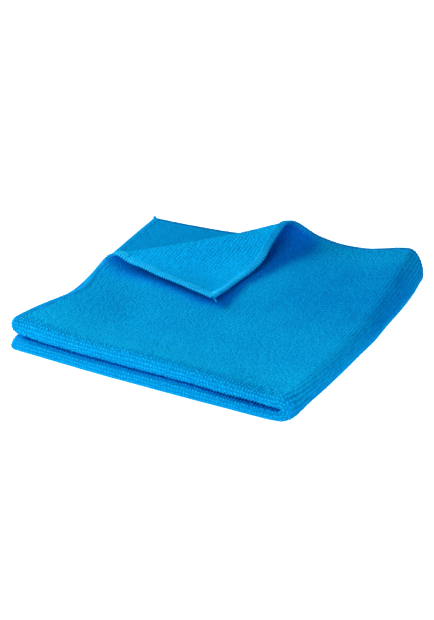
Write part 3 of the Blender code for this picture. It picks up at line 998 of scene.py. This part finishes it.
def knit_material(name, groups, blues, column_depth, course_depth):
    """The sheet's own face, with relief in the shader where no tufts stand on it."""
    material, tree, shader = surface(name, CLOTH_SURFACE)
    place = tree.nodes.new("ShaderNodeTexCoord").outputs["Object"]
    flat = node(tree, "ShaderNodeUVMap", {"uv_map": "flat_cloth"}).outputs["UV"]
    fibre = grouped(tree, groups["fibre"], Place=place, Clouds=0.35, Grains=0.5, Fibres=0.35)
    knit = grouped(tree, groups["knit"], Flat=flat, Column_depth=column_depth, Course_depth=course_depth)
    bare = maths(tree, "MULTIPLY_ADD", carried_value(tree, "relief"), 1.0 - BURIED_RELIEF, BURIED_RELIEF)
    height = maths(tree, "MULTIPLY", knit.outputs["Height"], bare)
    mottled = maths(tree, "MULTIPLY", fibre.outputs["Shade"], FIBRE_LIGHT)
    # Painted light on the knit's ridges and painted shade in its troughs, where no tufts stand.
    lit = maths(tree, "MULTIPLY_ADD", height, RELIEF_PAINTED_LIGHT, mottled)
    # Painted shade on the sheet between the knots.
    left = maths(tree, "MULTIPLY_ADD", carried_value(tree, "covered"), -KNOT_GAP_PAINTED_SHADE, 1.0)
    lit = maths(tree, "MULTIPLY", lit, left)
    furred = maths(tree, "MULTIPLY_ADD", fibre.outputs["Fuzz"], KNIT_FUZZ, height)
    finish_cloth(tree, shader, groups, lit, blues, furred, KNIT_BUMP)
    return material


def tuft_material(name, groups, blues, painted_root_shade=None):
    """Tufts, ribs and threads: each a little lighter or darker than the next; tufts and ribs get painted
    shade at the root and painted light at the crown.
    """
    material, tree, shader = surface(name, CLOTH_SURFACE)
    place = tree.nodes.new("ShaderNodeTexCoord").outputs["Object"]
    fibre = grouped(tree, groups["fibre"], Place=place, Clouds=0.35, Grains=0.3, Fibres=0.5)
    tone = maths(tree, "SUBTRACT", carried_value(tree, "tone"), 0.5)
    lit = maths(tree, "MULTIPLY_ADD", tone, TONE_SWING, fibre.outputs["Shade"])
    # Painted light and shade from the shift that each piece carries.
    lit = maths(tree, "MULTIPLY_ADD", carried_value(tree, "fade"), LIGHTNESS_STEP, lit)
    if painted_root_shade:
        in_open, by_fold = painted_root_shade
        fold = carried_value(tree, "fold")
        depth = maths(tree, "MULTIPLY_ADD", fold, by_fold - in_open, in_open)
        # Painted shade low on each tuft and painted light on its crown, deepest by the folds.
        over_root = maths(tree, "SUBTRACT", carried_value(tree, "rise"), CROWN_SHARE)
        lit = maths(tree, "MULTIPLY_ADD", over_root, depth, lit)
        # Painted light on the knots of the noses.
        lit = maths(tree, "MULTIPLY_ADD", fold, KNOT_PAINTED_LIGHT, lit)
    finish_cloth(tree, shader, groups, lit, blues, fibre.outputs["Fuzz"], FIBRE_BUMP)
    return material


# ---- studio
WHITE, COOL = (1.0, 1.0, 1.0), (0.55, 0.74, 1.0)
FLOOR_REACH = 3.0
FLOOR_SURFACE = {
    "Base Color": (0.88, 0.88, 0.88, 1.0),
    "Roughness": 0.9,
    "Specular IOR Level": 0.1,
    "Emission Color": (0.66, 0.86, 1.0, 1.0),
}
FLOOR_GLOW = 0.74  # a table lit from below as well, by a cool light
FLOOR_SHOWN = 0.72  # how much brighter still it looks to the camera
AMBIENT = 0.10
BACKDROP = 1.0  # how bright the air behind the table looks to the camera
Lamp = namedtuple("Lamp", "name azimuth elevation away size power colour")
LAMPS = (
    Lamp("left", -86.0, 32.0, 0.75, 0.34, 6.0, WHITE),
    Lamp("front_low", -4.0, 17.0, 0.55, 0.28, 1.25, WHITE),
    Lamp("front_high", -5.0, 50.0, 0.5, 0.3, 1.0, WHITE),
    Lamp("right", 84.0, 24.0, 0.55, 0.28, 1.15, COOL),
)
CAMERA_AZIMUTH, CAMERA_ELEVATION = 27.96, 28.13
CAMERA_DISTANCE = 1500.0
CAMERA_TARGET = (101.63, 95.07, 10.0)
CAMERA_NEAREST, CAMERA_FURTHEST = 0.1, 20.0
FOCAL_PIXELS, PICTURE_HEIGHT, SENSOR = 2290.96, 620.0, 36.0


def seen_by_camera(tree):
    """One for what the camera sees itself, none for what lights the cloth."""
    return node(tree, "ShaderNodeLightPath").outputs["Is Camera Ray"]


def make_floor(name):
    """A plain pale table under the cloth, brighter to the camera than to the cloth."""
    corners = [(x * FLOOR_REACH, y * FLOOR_REACH, 0.0) for x, y in ((-1, -1), (1, -1), (1, 1), (-1, 1))]
    mesh = bpy.data.meshes.new(name)
    mesh.from_pydata(corners, [], [(0, 1, 2, 3)])
    material, tree, shader = surface("studio_floor", FLOOR_SURFACE)
    glow = maths(tree, "MULTIPLY_ADD", seen_by_camera(tree), FLOOR_SHOWN, FLOOR_GLOW)
    tree.links.new(glow, shader.inputs["Emission Strength"])
    mesh.materials.append(material)
    return in_scene(name, mesh)


def face_cloth(thing, direction, place):
    """Sets a lamp or the camera at a place, looking back along a direction."""
    thing.location = place
    thing.rotation_mode = "QUATERNION"
    thing.rotation_quaternion = direction.to_track_quat("Z", "Y")


def make_lights():
    """The soft studio lamps, and the air that fills the shade between them."""
    world = bpy.data.worlds.new("studio_air")
    world.use_nodes = True
    tree = world.node_tree
    air = tree.nodes["Background"]
    seen = seen_by_camera(tree)
    tree.links.new(mixed(tree, seen, (*COOL, 1.0), (*WHITE, 1.0)), air.inputs["Color"])
    tree.links.new(maths(tree, "MULTIPLY_ADD", seen, BACKDROP - AMBIENT, AMBIENT), air.inputs["Strength"])
    bpy.context.scene.world = world
    for lamp in LAMPS:
        light = bpy.data.lights.new(lamp.name, "AREA")
        light.shape, light.size = "SQUARE", lamp.size
        light.energy, light.color = lamp.power, lamp.colour
        thing = in_scene(lamp.name, light)
        direction = towards(lamp.azimuth, lamp.elevation)
        face_cloth(thing, direction, direction * lamp.away)
        thing.visible_camera = False


def make_camera(shift):
    """The camera of the main picture, at the cloth's front right."""
    camera = bpy.data.cameras.new("camera")
    camera.sensor_width = SENSOR
    camera.lens = FOCAL_PIXELS / PICTURE_HEIGHT * SENSOR
    camera.clip_start, camera.clip_end = CAMERA_NEAREST, CAMERA_FURTHEST
    thing = in_scene("camera", camera)
    back = towards(CAMERA_AZIMUTH, CAMERA_ELEVATION)
    face_cloth(thing, back, Vector(CAMERA_TARGET) * MM + Vector(shift) + back * CAMERA_DISTANCE * MM)
    bpy.context.scene.camera = thing


# ---- the whole scene
def shift_to_frame(sheet):
    """From the folding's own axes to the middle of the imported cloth's box."""
    places = places_of(sheet)
    middle = (places.min(axis=0) + places.max(axis=0)) / 2
    box = (np.array(packed_low) + np.array(packed_high)) / 2
    return (float(box[0] - middle[0]), float(box[1] - middle[1]), 0.0)


def main():
    """Makes the cloth's pieces, sets them in the frame, and adds the studio."""
    groups = {"fibre": fibre_group(), "knit": knit_group(), "shade": painted_shade_group()}
    tufted = knit_material("tufted_face", groups, SHEET_BLUES, column_depth=1.0, course_depth=0.6)
    ribbed = knit_material("ribbed_face", groups, PILE_BLUES, column_depth=0.5, course_depth=1.0)
    pile = tuft_material("pile", groups, PILE_BLUES, painted_root_shade=(0.05, 0.5))
    ribs = tuft_material("ribs", groups, RIB_BLUES, painted_root_shade=(0.05, 0.05))
    thread = tuft_material("hem_thread", groups, THREAD_BLUES)
    tree = repeat_tree("copies_on_cloth")
    tuft, stitch = tuft_shape("one_tuft"), stitch_shape("one_stitch")
    sheet, shut = make_sheet("cloth_sheet")
    sheet.data.materials.append(tufted)
    sheet.data.materials.append(ribbed)
    pieces = [
        sheet,
        *make_outer_tufts(tree, tuft, pile, shut),
        make_inner_ribs("inner_ribs", tree, tuft, ribs, shut),
        make_stitches("overlock_stitches", tree, stitch, thread, shut),
        make_tails("thread_tails", thread),
    ]
    bpy.data.objects.remove(tuft)
    bpy.data.objects.remove(stitch)
    shift = shift_to_frame(sheet)
    for piece in pieces:
        set_places(piece, places_of(piece) + np.array(shift, np.float32))
        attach(piece, "root")
    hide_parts("cloth")
    floor = make_floor("studio_floor")
    make_lights()
    make_camera(shift)
    bpy.context.scene.view_settings.view_transform = "Standard"


main()
